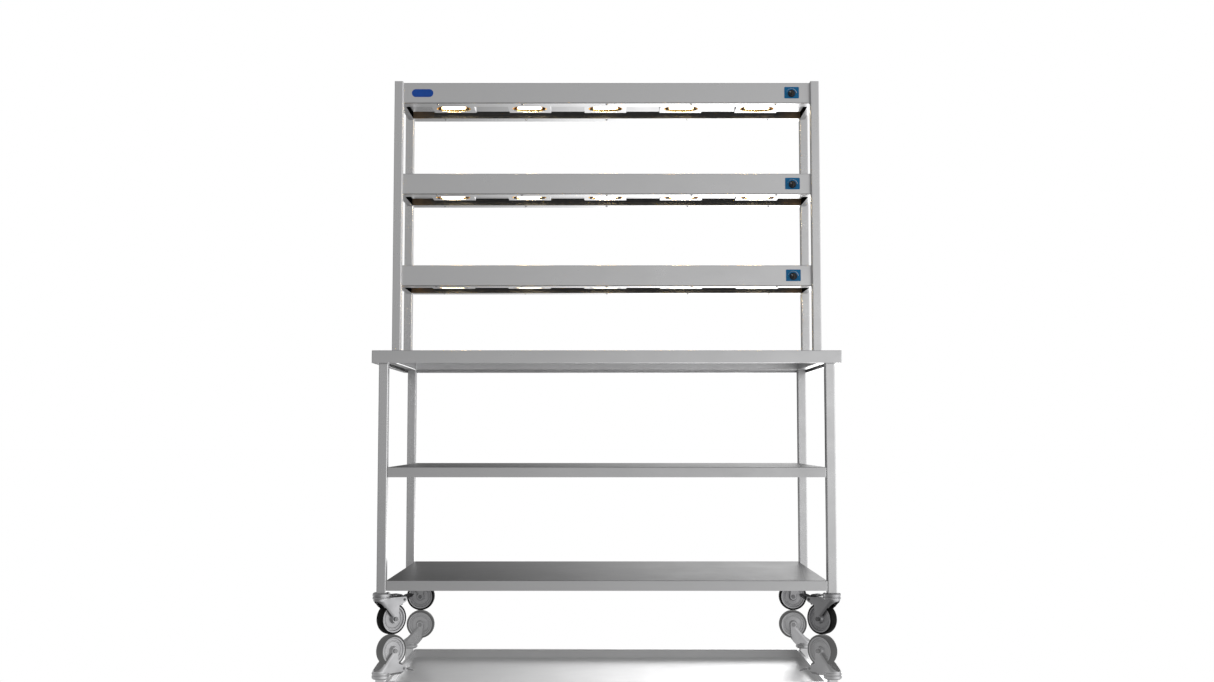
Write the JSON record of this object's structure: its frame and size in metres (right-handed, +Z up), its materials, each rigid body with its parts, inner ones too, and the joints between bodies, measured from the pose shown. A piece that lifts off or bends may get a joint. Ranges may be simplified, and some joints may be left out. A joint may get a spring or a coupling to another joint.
{
  "type": "mobile heated gantry",
  "caption": "Stainless steel table on braked swivel castors, with undershelves and a rear gantry of folded tiers holding quartz heat lamps and rotary controls.",
  "frame": {"origin": "on the floor, below the centre of the worktop", "axes": "+X along the table to the right seen from the front, +Y from front to rear, +Z up"},
  "size_m": [1.5, 0.7, 1.883],
  "materials": {
    "sheet_steel": "brushed",
    "tube_steel": "brushed",
    "pan_steel": "satin",
    "gold_reflector": "polished",
    "bright_steel": "polished",
    "zinc_steel": "bright zinc plated",
    "pedal_steel": "black coated",
    "hub_plastic": "moulded",
    "tyre_rubber": "matte",
    "knob_plastic": "moulded",
    "black_plastic": "moulded",
    "plate_blue": "satin",
    "badge_blue": "gloss",
    "quartz": "clear",
    "holder_ceramic": "matte"
  },
  "bodies": {
    "table": {"worktop": "sheet_steel", "underframe_front_rail": "tube_steel", "underframe_rear_rail": "tube_steel", "underframe_left_rail": "tube_steel", "underframe_right_rail": "tube_steel", "leg_front_left": "tube_steel", "leg_front_right": "tube_steel", "leg_rear_left": "tube_steel", "leg_rear_right": "tube_steel", "middle_shelf": "sheet_steel", "lower_shelf": "sheet_steel", "cable_gland": "black_plastic", "post_front_left": "tube_steel", "post_front_right": "tube_steel", "post_rear_left": "tube_steel", "post_rear_right": "tube_steel", "post_caps": "tube_steel", "bottom_tier_casing": "sheet_steel", "bottom_lamp_pan": "pan_steel", "bottom_lamp_trays": "pan_steel", "bottom_reflectors": "gold_reflector", "middle_tier_casing": "sheet_steel", "middle_lamp_pan": "pan_steel", "middle_lamp_trays": "pan_steel", "middle_reflectors": "gold_reflector", "top_tier_casing": "sheet_steel", "top_lamp_pan": "pan_steel", "top_lamp_trays": "pan_steel", "top_reflectors": "gold_reflector", "quartz_tubes": "quartz", "lamp_holders": "holder_ceramic", "pan_screws": "bright_steel", "control_plates": "plate_blue", "regulators": "black_plastic", "badge": "badge_blue", "castor_heads": "zinc_steel"},
    "castor_front_left": {"castor_fork_front_left": "zinc_steel", "castor_axle_front_left": "zinc_steel"},
    "wheel_front_left": {"wheel_hub_front_left": "hub_plastic", "tyre_front_left": "tyre_rubber"},
    "pedal_front_left": {"brake_pedal_front_left": "pedal_steel"},
    "castor_front_right": {"castor_fork_front_right": "zinc_steel", "castor_axle_front_right": "zinc_steel"},
    "wheel_front_right": {"wheel_hub_front_right": "hub_plastic", "tyre_front_right": "tyre_rubber"},
    "pedal_front_right": {"brake_pedal_front_right": "pedal_steel"},
    "castor_rear_left": {"castor_fork_rear_left": "zinc_steel", "castor_axle_rear_left": "zinc_steel"},
    "wheel_rear_left": {"wheel_hub_rear_left": "hub_plastic", "tyre_rear_left": "tyre_rubber"},
    "castor_rear_right": {"castor_fork_rear_right": "zinc_steel", "castor_axle_rear_right": "zinc_steel"},
    "wheel_rear_right": {"wheel_hub_rear_right": "hub_plastic", "tyre_rear_right": "tyre_rubber"},
    "bottom_control": {"bottom_knob": "knob_plastic", "bottom_spindle": "bright_steel"},
    "middle_control": {"middle_knob": "knob_plastic", "middle_spindle": "bright_steel"},
    "top_control": {"top_knob": "knob_plastic", "top_spindle": "bright_steel"}
  },
  "joints": [
    {"name": "swivel_front_left", "type": "hinge", "parent": "table", "child": "castor_front_left", "pos_m": [-0.715, -0.315, 0.128], "axis": [0, 0, 1], "continuous": true},
    {"name": "roll_front_left", "type": "hinge", "parent": "castor_front_left", "child": "wheel_front_left", "pos_m": [-0.68742, -0.28742, 0.05], "axis": [-0.7071, 0.7071, 0], "continuous": true},
    {"name": "brake_front_left", "type": "hinge", "parent": "castor_front_left", "child": "pedal_front_left", "pos_m": [-0.66267, -0.26267, 0.109], "axis": [-0.7071, 0.7071, 0], "range_deg": [0, 12]},
    {"name": "swivel_front_right", "type": "hinge", "parent": "table", "child": "castor_front_right", "pos_m": [0.715, -0.315, 0.128], "axis": [0, 0, 1], "continuous": true},
    {"name": "roll_front_right", "type": "hinge", "parent": "castor_front_right", "child": "wheel_front_right", "pos_m": [0.68742, -0.28742, 0.05], "axis": [-0.7071, -0.7071, 0], "continuous": true},
    {"name": "brake_front_right", "type": "hinge", "parent": "castor_front_right", "child": "pedal_front_right", "pos_m": [0.66267, -0.26267, 0.109], "axis": [-0.7071, -0.7071, 0], "range_deg": [0, 12]},
    {"name": "swivel_rear_left", "type": "hinge", "parent": "table", "child": "castor_rear_left", "pos_m": [-0.715, 0.315, 0.128], "axis": [0, 0, 1], "continuous": true},
    {"name": "roll_rear_left", "type": "hinge", "parent": "castor_rear_left", "child": "wheel_rear_left", "pos_m": [-0.676, 0.315, 0.05], "axis": [0, 1, 0], "continuous": true},
    {"name": "swivel_rear_right", "type": "hinge", "parent": "table", "child": "castor_rear_right", "pos_m": [0.715, 0.315, 0.128], "axis": [0, 0, 1], "continuous": true},
    {"name": "roll_rear_right", "type": "hinge", "parent": "castor_rear_right", "child": "wheel_rear_right", "pos_m": [0.676, 0.315, 0.05], "axis": [0, -1, 0], "continuous": true},
    {"name": "bottom_knob_turn", "type": "hinge", "parent": "table", "child": "bottom_control", "pos_m": [0.656, 0.06, 1.191], "axis": [0, 1, 0], "range_deg": [0, 270]},
    {"name": "middle_knob_turn", "type": "hinge", "parent": "table", "child": "middle_control", "pos_m": [0.656, 0.06, 1.517], "axis": [0, 1, 0], "range_deg": [0, 270]},
    {"name": "top_knob_turn", "type": "hinge", "parent": "table", "child": "top_control", "pos_m": [0.656, 0.06, 1.843], "axis": [0, 1, 0], "range_deg": [0, 270]}
  ]
}
